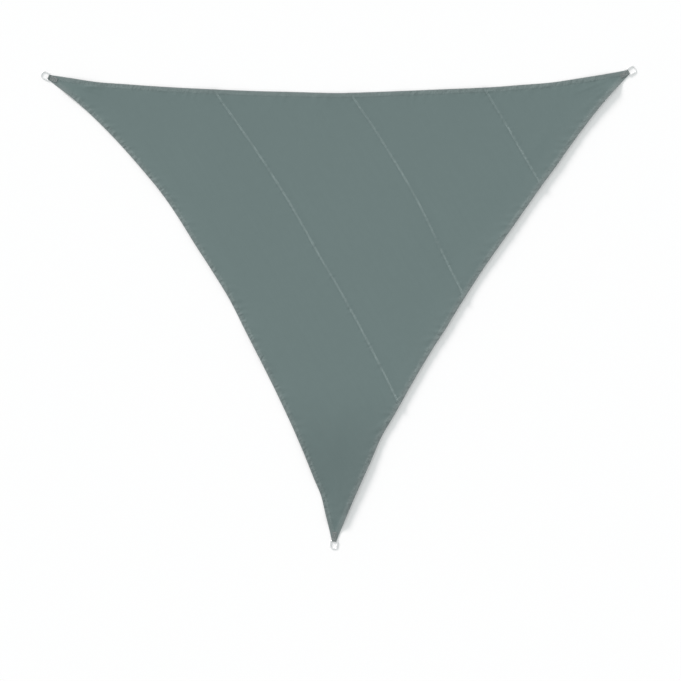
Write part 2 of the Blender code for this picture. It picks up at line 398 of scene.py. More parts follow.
LEFT = Corner("left", at=(-1.7705, 1.4105), heading=156.3)
RIGHT = Corner("right", at=(1.7715, 1.4405), heading=29.1)
FOOT = Corner("foot", at=(-0.0265, -1.4250), heading=265.8)
CORNERS = (LEFT, RIGHT, FOOT)

# The edges, clockwise from the left corner
EDGES = (
    Edge(
        name="top",
        start=LEFT,
        end=RIGHT,
        hollow=(0.1194, 0.0104, 0.0373, 0.0007),
        sways=((0.08, 0.035, 0.0052), (0.26, 0.100, -0.0029), (0.50, 0.050, 0.0057),
               (0.67, 0.070, -0.0040), (0.87, 0.035, 0.0042)),
        waves=((4.3, 0.0012, 0.10), (9.2, 0.0009, 0.62), (14.6, 0.0007, 0.35)),
        gathers=Gathers(height=0.0016, spacing=0.078, lean=0.5, start=0.11),
        lift=0.0036,
        tone=0.03,
        pull=1.1,
        slacker=((0.42, 0.15, -0.8),),
    ),
    Edge(
        name="right",
        start=RIGHT,
        end=FOOT,
        hollow=(0.1237, 0.0353, 0.0371, -0.0427),
        sways=((0.08, 0.070, 0.0041), (0.21, 0.025, -0.0027), (0.44, 0.070, 0.0053),
               (0.57, 0.025, -0.0033), (0.80, 0.035, 0.0089)),
        waves=((1.2, 0.0010, 0.13), (3.3, 0.0011, 0.27), (6.1, 0.0010, 0.94)),
        gathers=Gathers(height=0.0032, spacing=0.076, lean=-0.8, start=0.37),
        lift=0.0150,
        tone=-0.12,
        pull=1.5,
        paleness=1.35,
    ),
    Edge(
        name="left",
        start=FOOT,
        end=LEFT,
        hollow=(0.2344, 0.0601, 0.0708, -0.0550),
        sways=((0.08, 0.025, 0.0082), (0.48, 0.050, 0.0076), (0.60, 0.035, -0.0037),
               (0.71, 0.050, 0.0048), (0.94, 0.100, 0.0047)),
        waves=((5.1, 0.0016, 0.40), (8.4, 0.0011, 0.05), (13.3, 0.0008, 0.77)),
        gathers=Gathers(height=0.0024, spacing=0.071, lean=0.6, start=0.83),
        lift=0.0056,
        tone=0.03,
        pull=1.5,
        paleness=1.10,
    ),
)
TOP_EDGE, RIGHT_EDGE, LEFT_EDGE = EDGES

SEAMS = (
    Seam(0.2844, 0.7319, bow=0.044,
         sways=((0.05, 0.09, -0.0080), (0.33, 0.10, 0.0030), (0.54, 0.08, -0.0060))),
    Seam(0.5195, 0.5059, bow=0.038,
         sways=((0.06, 0.07, -0.0025), (0.48, 0.12, 0.0040), (0.78, 0.09, -0.0045),
                (0.95, 0.05, 0.0045))),
    Seam(0.7515, 0.2564, bow=0.005, sways=((0.65, 0.25, -0.0025),)),
)

# Ridges in the open cloth: two small ones by the hems, and broad low ones further in
OPEN_CREASES = (
    Crease(start=(-1.570, 1.356), end=(-1.420, 1.346), width=0.008, height=0.0026),
    Crease(start=(-1.110, 0.728), end=(-0.900, 0.606), width=0.013, height=0.0018),
    Crease(start=(0.960, 0.470), end=(0.560, -0.230), width=0.085, height=0.0020),
    Crease(start=(1.330, 1.150), end=(1.050, 0.740), width=0.045, height=0.0012),
    Crease(start=(0.020, -0.560), end=(-0.080, -1.120), width=0.060, height=0.0012),
)

# Ridges that fan out of a corner: angle off its axis, first and last distance, width, height
CORNER_FANS = (
    (LEFT, -9.0, 0.085, 0.42, 0.012, 0.0011),
    (LEFT, -2.0, 0.100, 0.33, 0.015, 0.0008),
    (LEFT, 6.5, 0.090, 0.46, 0.013, 0.0011),
    (RIGHT, -8.0, 0.090, 0.44, 0.013, 0.0011),
    (RIGHT, 1.5, 0.095, 0.30, 0.014, 0.0007),
    (RIGHT, 8.5, 0.085, 0.38, 0.011, 0.0010),
    (FOOT, -8.5, 0.090, 0.36, 0.012, 0.0009),
    (FOOT, 0.5, 0.100, 0.46, 0.016, 0.0007),
    (FOOT, 7.5, 0.085, 0.32, 0.011, 0.0009),
)


def fan_creases() -> list[Crease]:
    """The ridges of every corner's fan, turned about the corner into the sail's plan."""
    made = []
    for corner, off_axis, near, far, width, height in CORNER_FANS:
        inward = compass(corner.heading + 180 + off_axis)
        first, last = (tuple(corner.middle + distance * inward) for distance in (near, far))
        made.append(Crease(first, last, width, height))
    return made


@dataclass(frozen=True)
class SailLie:
    """How the cloth lies: its thickness, its lifts, gathers and creases, at any point."""

    cloth: float = 0.0012
    hem: float = 0.028
    hem_shoulder: float = 0.012  # width over which the face steps down from hem to cloth
    gap: float = 0.0003
    webbing: float = 0.0015
    lap_ramp: float = 0.030  # the upper panel comes down to the floor over this width
    lap_shelf: float = 0.0050  # from this far past the seam's middle
    hem_lift_reach: float = 0.150
    corner_flat: float = 0.054  # the cloth lies flat on the webbing to this far from a corner
    corner_fade: float = 0.060  # and comes down from it over this width
    lift_fade: float = 0.085  # while the edges' lift grows over this width
    gather_start: float = 0.085
    gather_fade: float = 0.120
    hem_rows: Range = (0.0190, 0.0250)  # depths of the hem's two stitch rows
    seam_rows: Range = (-0.0005, 0.0061)  # offsets of a seam's two stitch rows
    groove: float = 0.00025  # how far a row of stitches draws the face down
    groove_width: float = 0.0012
    seam_lift: float = 0.00045  # the seam's thread holds the cloth this far off the floor
    seam_gather: float = 0.0010
    seam_gather_spacing: float = 0.041
    seam_wander: Range = (0.4, 0.83)  # how far, and how often, gathers are shifted
    seam_beat: float = 5.3  # how many gathers grow and shrink together
    seam_reach: float = 0.026
    pull_depth: float = 0.013  # the stitching's small tucks are deepest this far in
    pull_reach: float = 0.020
    seam_pull_reach: float = 0.018
    seam_pull_middle: float = 0.0025  # to the right of the seam's middle line
    rim_reach: float = 0.046  # the folded edge is paler to this depth
    rim_fall: float = 1.8
    slack: float = 0.0007  # height of the open cloth's broad unevenness
    swells: tuple[tuple[float, float, float, float], ...] = (  # ripples a metre on X and on Y,
        (0.78, -0.31, 0.15, 1.00),  # shift and share
        (0.55, 1.12, 0.40, 0.80),
        (1.65, -1.20, 0.72, 0.45),
    )
    creases: tuple[Crease, ...] = field(default_factory=lambda: (*OPEN_CREASES, *fan_creases()))

    def edge_depth(self, points: Array) -> Array:
        """Distance inside the nearest edge."""
        return np.min([edge.depth(points) for edge in EDGES], axis=0)

    def hem_share(self, points: Array) -> Array:
        """1 in the hem and 0 in the open cloth, with a soft shoulder between."""
        past = self.hem + self.hem_shoulder / 2 - self.edge_depth(points)
        return smooth_step(past / self.hem_shoulder)

    def thickness(self, points: Array) -> Array:
        """One layer in the open and two in the hem, drawn in along the rows of stitches."""
        full = self.cloth * (1 + self.hem_share(points))
        depth = self.edge_depth(points)
        beside = [depth - row for row in self.hem_rows]
        beside += [seam.offset(points) - row for seam in SEAMS for row in self.seam_rows]
        for distance in beside:
            full = full - self.groove * bell(distance / self.groove_width)
        return full

    def from_corner(self, points: Array) -> Array:
        """Distance from the nearest corner."""
        return np.min([corner.distance(points) for corner in CORNERS], axis=0)

    def free(self, points: Array) -> Array:
        """0 on the corners' webbing and 1 where the cloth beyond it is free to gather."""
        return smooth_step((self.from_corner(points) - self.gather_start) / self.gather_fade)

    def pulls(self, points: Array) -> Array:
        """How strongly the stitching of each edge tucks the cloth up, one column for each."""
        near = []
        for edge in EDGES:
            t, depth = edge.place(points)
            pull = edge.pull + bells(edge.slacker, t)
            near.append(pull * bell((depth - self.pull_depth) / self.pull_reach))
        return np.column_stack(near) * self.free(points)[:, None]

    def marks(self, points: Array) -> Array:
        """Where the cloth's colour changes.

        Args:
            points: Points in plan, one a row.

        Returns:
            Three columns: 1 at the folded edge and 0 just inside the hem, 1 along a seam,
            and the painted light and shade of the lifted edges.
        """
        rims, tone = [], 0.0
        for edge in EDGES:
            depth = edge.depth(points)
            rims.append(edge.paleness * np.clip(1 - depth / self.rim_reach, 0, 1) ** self.rim_fall)
            # painted light and shade, which offsets how the lifted edges' slope catches the low
            # light
            tone = tone + edge.tone * np.clip(1 - depth / self.hem_lift_reach, 0, 1)
        offsets = np.array([seam.offset(points) for seam in SEAMS])
        seams = bell((offsets - self.seam_pull_middle) / self.seam_pull_reach).max(axis=0)
        free = self.free(points)
        return np.column_stack([np.max(rims, axis=0), seams * free, tone * free])

    def slackness(self, points: Array) -> Array:
        """Broad unevenness: three crossing ripples of 0.5 to 1.3 m, none below the floor."""
        x, y = points[..., 0], points[..., 1]
        return self.slack * sum(share * ripple(a * x + b * y + c) for a, b, c, share in self.swells)

    def bottom(self, points: Array) -> Array:
        """Height of the lowest layer's underside.

        The webbing holds the corners up, the edges lift by their own ripples and settle
        inward as (1 - depth / reach)^2, and gathers, creases and slack are added on top.

        Args:
            points: Points in plan, along the last axis.

        Returns:
            Heights in metres.
        """
        past_corner = self.from_corner(points) - self.corner_flat
        on_webbing = 1 - smooth_step(past_corner / self.corner_fade)
        grown = smooth_step(past_corner / self.lift_fade)
        free = self.free(points)
        height = (self.webbing + self.gap) * on_webbing + free * self.slackness(points)
        for edge in EDGES:
            t, depth = edge.place(points)
            settle = np.clip(1 - np.maximum(depth, 0) / self.hem_lift_reach, 0, 1) ** 2
            height = height + grown * settle * edge.rise(np.clip(t, 0, 1))
            height = height + free * edge.gathers.rise(t * edge.chord().length, depth)
        for crease in self.creases:
            height = height + free * crease.rise(points)
        far, often = self.seam_wander
        for seam in SEAMS:
            near = bell(seam.offset(points) / self.seam_reach)
            place = seam.line().place(points)[0] / self.seam_gather_spacing
            uneven = ripple(place + far * np.sin(place * often)) * ripple(place / self.seam_beat)
            height = height + near * (self.seam_lift + free * self.seam_gather * uneven)
        return height

    def lap_height(self, points: Array, seam: Seam) -> Array:
        """How far the panel on a seam's right is held up by the one below it."""
        share = smooth_step((self.lap_shelf + self.lap_ramp - seam.offset(points)) / self.lap_ramp)
        return share * (self.cloth * (1 + self.hem_share(points)) + self.gap)

    def surface(self, points: Array, face: Face) -> Array:
        """Height of the sail's face or of its underside, laps included.

        Args:
            points: Points in plan.
            face: Which of the two faces.

        Returns:
            Heights in metres.
        """
        height = self.bottom(points)
        upper = face is Face.UPPER
        for seam in SEAMS:
            inside = seam.inside_upper(points) if upper else -seam.inside_lower(points)
            height = height + np.where(inside > 0, self.lap_height(points, seam), 0)
        return height + self.thickness(points) if upper else height


# Meshes


def grid_quads(indices: Array) -> Array:
    """The faces of a grid of point numbers, whose rows run down and whose columns run right."""
    corners = (indices[:-1, :-1], indices[1:, :-1], indices[1:, 1:], indices[:-1, 1:])
    return np.stack(corners, axis=-1).reshape(-1, 4)


def tube_quads(rows: int, around: int, joined: bool = False) -> Array:
    """The faces of a tube, whose points go round it row by row.

    Args:
        rows: How many rows of points it has.
        around: How many points a row has.
        joined: Whether its last row meets its first.

    Returns:
        One row of four point numbers for each face.
    """
    ring = np.arange(rows * around).reshape(rows, around)
    ring = np.concatenate([ring, ring[:1]]) if joined else ring
    return grid_quads(np.concatenate([ring, ring[:, :1]], axis=1))


def roll_map(across: Array, along: Array) -> Array:
    """Map coordinates for every point, from two arrays that fit one another."""
    return np.stack(np.broadcast_arrays(across, along), axis=-1).reshape(-1, 2)


def join(parts: list[MeshData]) -> MeshData:
    """Puts several meshes together as one."""
    points, quads, rolls = zip(*parts)
    offsets = np.cumsum([0] + [len(each) for each in points[:-1]])
    shifted = [each + offset for each, offset in zip(quads, offsets)]
    return np.concatenate(points), np.concatenate(shifted), np.concatenate(rolls)


def add_piece(name: str, points: Array, quads: Array, roll: Array) -> Piece:
    """Makes one smooth mesh object, with its own map in metres and nothing below the floor.

    Args:
        name: The piece's name.
        points: One point a row, in the frame.
        quads: Four point numbers for each face, counter-clockwise seen from outside.
        roll: The map's coordinates, one row for each point.

    Returns:
        The new object.
    """
    spots = np.column_stack([points[:, :2], np.maximum(points[:, 2], 0.0)])
    mesh = bpy.data.meshes.new(name)
    mesh.vertices.add(len(spots))
    mesh.vertices.foreach_set("co", spots.astype(np.float32).ravel())
    mesh.loops.add(quads.size)
    mesh.loops.foreach_set("vertex_index", quads.astype(np.int32).ravel())
    mesh.polygons.add(len(quads))
    mesh.polygons.foreach_set("loop_start", np.arange(0, quads.size, 4, dtype=np.int32))
    mesh.update(calc_edges=True)
    layer = mesh.uv_layers.new(name=ROLL_MAP)
    layer.uv.foreach_set("vector", roll[quads.ravel()].astype(np.float32).ravel())
    mesh.validate()
    mesh.shade_smooth()
    piece = bpy.data.objects.new(name, mesh)
    bpy.context.scene.collection.objects.link(piece)
    return piece


def dress(
    piece: Piece, material: Material, replaces: str | None = None
) -> Piece:
    """Gives a piece its material and its place in the frame.

    Args:
        piece: The finished piece.
        material: Its only material.
        replaces: The frame's node that it stands for, if any.

    Returns:
        The same piece.
    """
    piece.data.materials.append(material)
    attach(piece, BODY)
    if replaces:
        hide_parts(replaces)
    log.info("%s: %d faces", piece.name, len(piece.data.polygons))
    return piece


# Finishes


class Graph:
    """Builds one material's nodes and joins them."""

    def __init__(self, name: str) -> None:
        """Starts a material with its shader alone."""
        self.material = bpy.data.materials.new(name)
        self.material.use_nodes = True
        self.tree = self.material.node_tree

    def feed(self, slot: Socket, value: Socket | float | Colour) -> None:
        """Joins an output to an input, or sets the input's number or colour."""
        if isinstance(value, Socket):
            self.tree.links.new(value, slot)
        else:
            slot.default_value = (*value, 1.0) if slot.type == "RGBA" else value

    def surface(self, **values: Socket | float | Colour) -> None:
        """Feeds the shader's inputs: the names are theirs in small letters, joined by _."""
        for slot in self.tree.nodes["Principled BSDF"].inputs:
            key = slot.name.lower().replace(" ", "_")
            if key in values:
                self.feed(slot, values[key])

    def node(self, kind: str, inputs: dict[str | int, object], **settings: object) -> Node:
        """Adds a node.

        Args:
            kind: The node's type, without its first word.
            inputs: An output to join, or a value to set, for each input, by name or place.
            settings: The node's own properties.

        Returns:
            The new node.
        """
        made = self.tree.nodes.new(f"ShaderNode{kind}")
        for key, value in settings.items():
            setattr(made, key, value)
        for key, value in inputs.items():
            self.feed(made.inputs[key], value)
        return made

    def axes(self, vector: Socket) -> list[Socket]:
        """The three coordinates of a vector."""
        return list(self.node("SeparateXYZ", {"Vector": vector}).outputs)

    def roll(self) -> tuple[Socket, Socket, Socket]:
        """The piece's own map, as a vector and as its two coordinates in metres."""
        vector = self.node("UVMap", {}, uv_map=ROLL_MAP).outputs["UV"]
        return vector, *self.axes(vector)[:2]

    def place(self) -> Socket:
        """The place in the frame."""
        return self.node("TexCoord", {}).outputs["Object"]

    def attribute(self, name: str) -> list[Socket]:
        """The three parts of one of the mesh's attributes."""
        return self.axes(self.node("Attribute", {}, attribute_name=name).outputs["Vector"])

    def maths(self, operation: str, *values: Socket | float) -> Socket:
        """One step of arithmetic on sockets or numbers."""
        return self.node("Math", dict(enumerate(values)), operation=operation).outputs[0]

    def times(self, first: Socket, second: Socket | float) -> Socket:
        """The product of two numbers."""
        return self.maths("MULTIPLY", first, second)

    def fit(self, share: Socket, low: float, high: float) -> Socket:
        """A share of 0 to 1 as a number between low and high."""
        return self.maths("MULTIPLY_ADD", share, high - low, low)

    def wave(self, place: Socket, pitch: float, shift: Socket | float = 0.0) -> Socket:
        """(1 + sin(2 pi place / pitch + shift)) / 2."""
        angle = self.maths("MULTIPLY_ADD", place, TURN / pitch, shift)
        return self.fit(self.maths("SINE", angle), 0.5, 1.0)

    def noise(self, at: Socket, stretch: Colour, detail: float = 3.0, turn: float = 0.0) -> Socket:
        """Smooth noise whose grains are 1 / stretch metres long on each axis, turned in plan."""
        if turn:
            turned = {"Vector": at, "Rotation": (0.0, 0.0, -turn)}
            at = self.node("Mapping", turned).outputs["Vector"]
        at = self.node("Mapping", {"Vector": at, "Scale": stretch}).outputs["Vector"]
        return self.node("TexNoise", {"Vector": at, "Scale": 1.0, "Detail": detail}).outputs["Fac"]

    def between(self, share: Socket, low: Colour, high: Colour) -> Socket:
        """Mixes two colours, which are the node's seventh and eighth input."""
        return self.node("Mix", {0: share, 6: low, 7: high}, data_type="RGBA").outputs[2]

    def shade_and_dull_tones(self, share: Socket, colour: Colour, tones: Range) -> Socket:
        """Mixes a colour's darker and lighter tone: painted shade and highlight on the hollows and
        crests of yarns, and dull patches on steel.
        """
        low, high = (tuple(channel * tone for channel in colour) for tone in tones)
        return self.between(share, low, high)

    def product(self, first: Socket, second: Socket) -> Socket:
        """Multiplies two colours."""
        return self.node("VectorMath", {0: first, 1: second}, operation="MULTIPLY").outputs[0]

    def toned(self, colour: Socket, *tones: Socket) -> Socket:
        """A colour made lighter or darker by each of several numbers."""
        tone = tones[0]
        for other in tones[1:]:
            tone = self.times(tone, other)
        return self.node("VectorMath", {0: colour, "Scale": tone}, operation="SCALE").outputs[0]

    def ramp(self, value: Socket, first: float, last: float) -> Socket:
        """0 at the first value and 1 at the last, with soft ends."""
        ends = {"Value": value, "From Min": first, "From Max": last}
        return self.node("MapRange", ends, interpolation_type="SMOOTHSTEP").outputs["Result"]

    def bump(self, height: Socket, distance: float, strength: float) -> Socket:
        """The normal of a surface raised by a height of 0 to 1, times the distance."""
        raised = {"Height": height, "Distance": distance, "Strength": strength}
        return self.node("Bump", raised).outputs["Normal"]


class Finish:
    """A look, which can be made into a material."""

    def paint(self, graph: Graph) -> None:
        """Builds the look's own nodes."""
        raise NotImplementedError

    def material(self, name: str) -> Material:
        """Makes a material with this look."""
        graph = Graph(name)
        self.paint(graph)
        return graph.material


@dataclass(frozen=True)
class KnitFinish(Finish):
    """Knitted shade cloth: columns of chain stitches, with yarns laid zigzag between them."""

    colour: Colour = (0.1425, 0.1938, 0.1899)
    column: float = 0.0034  # from one column of stitches to the next
    stitch: float = 0.0029  # from one stitch to the next in a column
    swing: float = 2.4  # how far the laid-in yarns swing, in radians of the stitches' pattern
    laid_in: float = 0.6  # how high they lie, beside the chain stitches
    relief: float = 0.0004
    yarn_shade_and_highlight: Range = (0.92, 1.08)  # painted shade in the yarns' hollows and painted highlight on their crests
    uneven: Range = (0.975, 1.025)  # the tones of broad patches, streaks and specks
    broad: Colour = (1.3, 0.9, 1.0)  # grains a metre across and along the roll, here and below
    streaks: Colour = (90.0, 1.6, 1.0)
    specks: Colour = (22.0, 22.0, 1.0)
    seam_glint_patches: Colour = (12.0, 26.0, 1.0)
    seam_glint_tone: float = 1.06  # painted glint, lighter in patches along the seams, where two layers lie together
    seam_fall: float = 5.0
    rim_tone: Colour = (1.30, 1.15, 1.16)  # at the folded edge, where the cloth is paler
    tuck: float = 0.0080  # height of the small tucks that the stitching draws up
    tuck_grain: Range = (42.0, 28.0)  # how many grains a metre along and across
    shaded: tuple[float, float, float, float] = (-0.42, -1.00, -1.22, -1.45)
    shaded_tone: float = 0.885  # painted shade: the cloth is coloured a little darker between those places on Y

    def paint(self, graph: Graph) -> None:
        """Builds the knit.

        The height is a raised sine across the columns, which carries the chain's loops,
        and between the columns a zigzag yarn, the phase of which swings from side to side.

        Args:
            graph: The material's graph.
        """
        vector, across, along = graph.roll()
        place = graph.place()
        rim, near_seam, painted_edge_light_and_shade = graph.attribute(MARKS)
        column = graph.wave(across, self.column)
        swing = graph.maths("SINE", graph.times(across, TURN / self.column))
        laid_in = graph.wave(along, self.stitch, graph.times(swing, self.swing))
        chain = graph.times(column, graph.fit(graph.wave(along, self.stitch), 0.5, 1.0))
        zigzag = graph.times(graph.maths("SUBTRACT", 1.0, column), laid_in)
        height = graph.maths("MULTIPLY_ADD", zigzag, self.laid_in, chain)
        # painted shade in the knit's hollows and painted highlight on its crests
        yarn = graph.shade_and_dull_tones(height, self.colour, self.yarn_shade_and_highlight)
        # the cloth is paler towards its folded edge
        yarn_with_paler_rim = graph.product(yarn, graph.between(rim, (1.0, 1.0, 1.0), self.rim_tone))
        noises = (self.broad, 2.0), (self.streaks, 2.0), (self.specks, 4.0)
        # painted glint: the cloth is lighter in patches along the seams
        painted_seam_glint = graph.times(
            graph.maths("POWER", near_seam, self.seam_fall),
            graph.noise(vector, self.seam_glint_patches, 2.0),
        )
        colour = graph.toned(
            yarn_with_paler_rim,
            *(graph.fit(graph.noise(vector, *noise), *self.uneven) for noise in noises),
            # painted shade above the foot corner
            graph.fit(self.shade(graph, place), 1.0, self.shaded_tone),
            # painted light and shade on the lifted edges
            graph.fit(painted_edge_light_and_shade, 1.0, 2.0),
            graph.fit(painted_seam_glint, 1.0, self.seam_glint_tone),
        )
        tucks = self.tucks(graph, vector, place, near_seam)
        relief = graph.maths("MULTIPLY_ADD", tucks, self.tuck / self.relief, height)
        graph.surface(
            base_color=colour,
            normal=graph.bump(relief, self.relief, 1.0),
            roughness=0.85,
            specular_ior_level=0.2,
            diffuse_roughness=0.3,
            sheen_weight=0.06,
            sheen_roughness=0.45,
        )

    def shade(self, graph: Graph, place: Socket) -> Socket:
        """1 in the band of painted shade, above the foot corner, and 0 elsewhere."""
        y = graph.axes(place)[1]
        upper, full, end, lower = self.shaded
        return graph.times(graph.ramp(y, upper, full), graph.ramp(y, lower, end))

    def tucks(self, graph: Graph, vector: Socket, place: Socket, near_seam: Socket) -> Socket:
        """The height of the small tucks that lie across the hems and the seams.

        Noise in short grains, turned along each edge, counts by how strongly that edge's
        stitching pulls at the place. Along the seams it follows the roll.

        Args:
            graph: The material's graph.
            vector: The roll's map.
            place: The place in the frame.
            near_seam: 1 along a seam.

        Returns:
            Heights of about -0.5 to 0.5.
        """
        along, across = self.tuck_grain
        by_seam = graph.maths("SUBTRACT", graph.noise(vector, (across, along, 1.0), 1.0), 0.5)
        total = graph.times(by_seam, graph.times(near_seam, 0.5))
        for edge, share in zip(EDGES, graph.attribute(PULLS)):
            x, y = edge.chord().along
            grains = graph.noise(place, (along, across, 1.0), 1.0, math.atan2(y, x))
            total = graph.maths("MULTIPLY_ADD", graph.maths("SUBTRACT", grains, 0.5), share, total)
        return total


@dataclass(frozen=True)
class WebbingFinish(Finish):
    """Woven polyester webbing: a herringbone of twill ribs with firm edges."""

    colour: Colour = (0.148, 0.173, 0.169)
    rib: float = 0.0021
    cord: float = 0.0014  # from one lengthwise cord to the next
    cord_share: float = 0.25  # how much of the relief is theirs
    herringbone: float = 0.0100  # width of one chevron
    relief: float = 0.0004
    fuzz: Colour = (700.0, 700.0, 1.0)
    fuzz_tone: Range = (0.89, 1.11)
    yarn_shade_and_highlight: Range = (0.78, 1.16)

    def paint(self, graph: Graph) -> None:
        """Builds slanted ribs whose slant turns at each chevron.

        Args:
            graph: The material's graph.
        """
        vector, across, along = graph.roll()
        chevron = graph.maths("PINGPONG", across, self.herringbone / 2)
        ribs = graph.wave(along, self.rib, graph.times(chevron, TURN / self.rib))
        ribs = graph.times(ribs, 1 - self.cord_share)
        height = graph.maths("MULTIPLY_ADD", graph.wave(across, self.cord), self.cord_share, ribs)
        # painted shade in the ribs' hollows and painted highlight on their crests
        yarn = graph.shade_and_dull_tones(height, self.colour, self.yarn_shade_and_highlight)
        tone = graph.fit(graph.noise(vector, self.fuzz), *self.fuzz_tone)
        graph.surface(
            base_color=graph.toned(yarn, tone),
            normal=graph.bump(height, self.relief, 0.8),
            roughness=0.72,
            specular_ior_level=0.35,
            sheen_weight=0.15,
            sheen_roughness=0.4,
        )


@dataclass(frozen=True)
class ThreadFinish(Finish):
    """Bonded polyester sewing thread with a visible twist."""

    colour: Colour
    twist: float = 0.0011
    relief: float = 0.00012
    fibre: Colour = (900.0, 300.0, 1.0)  # grains a metre round and along the thread
    glint: Colour = (75.0, 75.0, 75.0)  # of stitches that catch more light
    patch: Colour = (9.0, 9.0, 9.0)  # of stretches of seam that show more, with painted glint
    yarn_shade_and_highlight: Range = (0.74, 1.12)
    fibre_tone: Range = (0.88, 1.12)
    glint_tone: Range = (0.35, 1.65)
    patch_tone: Range = (-0.58, 2.82)
    least: float = 0.28  # no patch is darker
    most: float = 1.38  # and no stitch paler

    def paint(self, graph: Graph) -> None:
        """Builds slanted strands with painted shade between them, and painted glints on
        stitches and stretches that show more than others.

        Args:
            graph: The material's graph.
        """
        vector, around, along = graph.roll()
        place = graph.place()
        strands = graph.wave(along, self.twist, graph.times(around, TURN / self.twist))
        # painted shade in the grooves between the strands, and painted highlight on them
        yarn = graph.shade_and_dull_tones(strands, self.colour, self.yarn_shade_and_highlight)
        fibre = graph.fit(graph.noise(vector, self.fibre, 2.0), *self.fibre_tone)
        glint = graph.fit(graph.noise(place, self.glint, 1.0), *self.glint_tone)
        patch = graph.fit(graph.noise(place, self.patch, 1.0), *self.patch_tone)
        tone = graph.times(graph.times(fibre, glint), graph.maths("MAXIMUM", patch, self.least))
        graph.surface(
            base_color=graph.toned(yarn, graph.maths("MINIMUM", tone, self.most)),
            normal=graph.bump(strands, self.relief, 0.7),
            roughness=0.5,
            specular_ior_level=0.45,
            sheen_weight=0.08,
            sheen_roughness=0.35,
        )


@dataclass(frozen=True)
class SteelFinish(Finish):
    """Polished stainless wire, with fine lines drawn along it."""

    colour: Colour = (0.95, 0.953, 0.956)
    dull_tone: Range = (0.93, 1.0)
    roughness: Range = (0.13, 0.47)
    lines: Colour = (2600.0, 60.0, 1.0)  # grains a metre round and along the wire
    patches: Colour = (160.0, 90.0, 1.0)
    relief: float = 0.00002

    def paint(self, graph: Graph) -> None:
        """Builds drawn lines and a few dull patches in the roughness.

        Args:
            graph: The material's graph.
        """
        vector, _, _ = graph.roll()
        lines, patches = (graph.noise(vector, stretch) for stretch in (self.lines, self.patches))
        graph.surface(
            base_color=graph.shade_and_dull_tones(patches, self.colour, self.dull_tone),
            roughness=graph.fit(graph.times(lines, patches), *self.roughness),
            normal=graph.bump(lines, self.relief, 0.5),
            metallic=1.0,
        )


@dataclass(frozen=True)
class FloorFinish(Finish):
    """A matt white studio floor."""

    colour: Colour = (0.86, 0.862, 0.862)

    def paint(self, graph: Graph) -> None:
        """Sets the floor's colour and takes its gloss away."""
        graph.surface(base_color=self.colour, roughness=1.0, specular_ior_level=0.0)


def all_materials() -> dict[str, Material]:
    """Makes each material once.

    Returns:
        The materials by their name.
    """
    finishes = {
        "knitted_cloth": KnitFinish(),
        "woven_webbing": WebbingFinish(),
        "hem_thread": ThreadFinish((0.28, 0.34, 0.33)),
        "seam_thread": ThreadFinish((0.53, 0.597, 0.583)),
        "box_thread": ThreadFinish((0.55, 0.56, 0.57)),
        "steel_wire": SteelFinish(),
        "white_floor": FloorFinish(),
    }
    return {name: finish.material(name) for name, finish in finishes.items()}


# Cloth panels


def rim_lines(radius: float) -> tuple[float, ...]:
    """Where a mesh's lines cross a half-round rim: radius x (1 - cos) of even angles."""
    return tuple(radius * (1 - math.cos(math.radians(angle))) for angle in (0, 30, 60, 90))


# Where the mesh lines run beside each kind of side, in metres inside it
HEM_LINES = rim_lines(0.0012) + (
    *(0.0040, 0.0090, 0.0140, 0.0174, 0.0190, 0.0206, 0.0234, 0.0250, 0.0264),
    *(0.0280, 0.0298, 0.0318, 0.0340, 0.0370),
)
LAP_OVER_LINES = rim_lines(0.0006) + (
    *(0.0030, 0.0045, 0.0060, 0.0075, 0.0090, 0.0105, 0.0120, 0.0140, 0.0160),
    *(0.0180, 0.0205, 0.0230, 0.0250, 0.0300),
)
LAP_UNDER_LINES = rim_lines(0.0006) + (0.0045, 0.0105, 0.0150, 0.0170, 0.0210, 0.0270)
BLUNT_LINES = rim_lines(0.0012) + (0.0040, 0.0100, 0.0180)
CORNER_PULL = 3.0  # how closely a hem's lines crowd together where they turn round a corner


@dataclass(frozen=True)
class Side:
    """One side of a panel's mesh: its distance field, and where the lines beside it run."""

    inside: Field
    lines: tuple[float, ...] = HEM_LINES


def turned_corner(edge: Edge, corner: Corner) -> Field:
    """An edge's distance field, turned round a corner so that it follows the blunt end too."""
    return lambda points: soft_min(CORNER_PULL * corner.depth(points), edge.depth(points))


@dataclass(frozen=True)
class LineLaw:
    """Where a panel's mesh lines run between two sides, for any local width.

    The lines by each side keep fixed distances from it, and the others share out the
    width between. Each distance is a x squeeze + b x width; where the sides come closer
    than their fixed lines need, the squeeze scales those down.
    """

    a: Array
    b: Array
    held: float
    room: float = 1.15  # the squeeze begins at this many times the width that the lines need

    @classmethod
    def between(cls, near: Side, far: Side, count: int) -> "LineLaw":
        """The law for two sides with a number of even spaces between their fixed lines."""
        first, last = np.array(near.lines), np.array(far.lines)[::-1]
        share = np.linspace(0, 1, count + 1)[1:-1]
        held = first[-1] + last[0]
        a = np.concatenate([first, first[-1] - share * held, -last])
        return cls(a, np.concatenate([0 * first, share, np.ones(len(last))]), held)

    def distance(self, width: Array) -> Array:
        """Each line's distance from the near side, along the last axis of the widths."""
        return self.a * np.minimum(1.0, width / (self.room * self.held)) + self.b * width


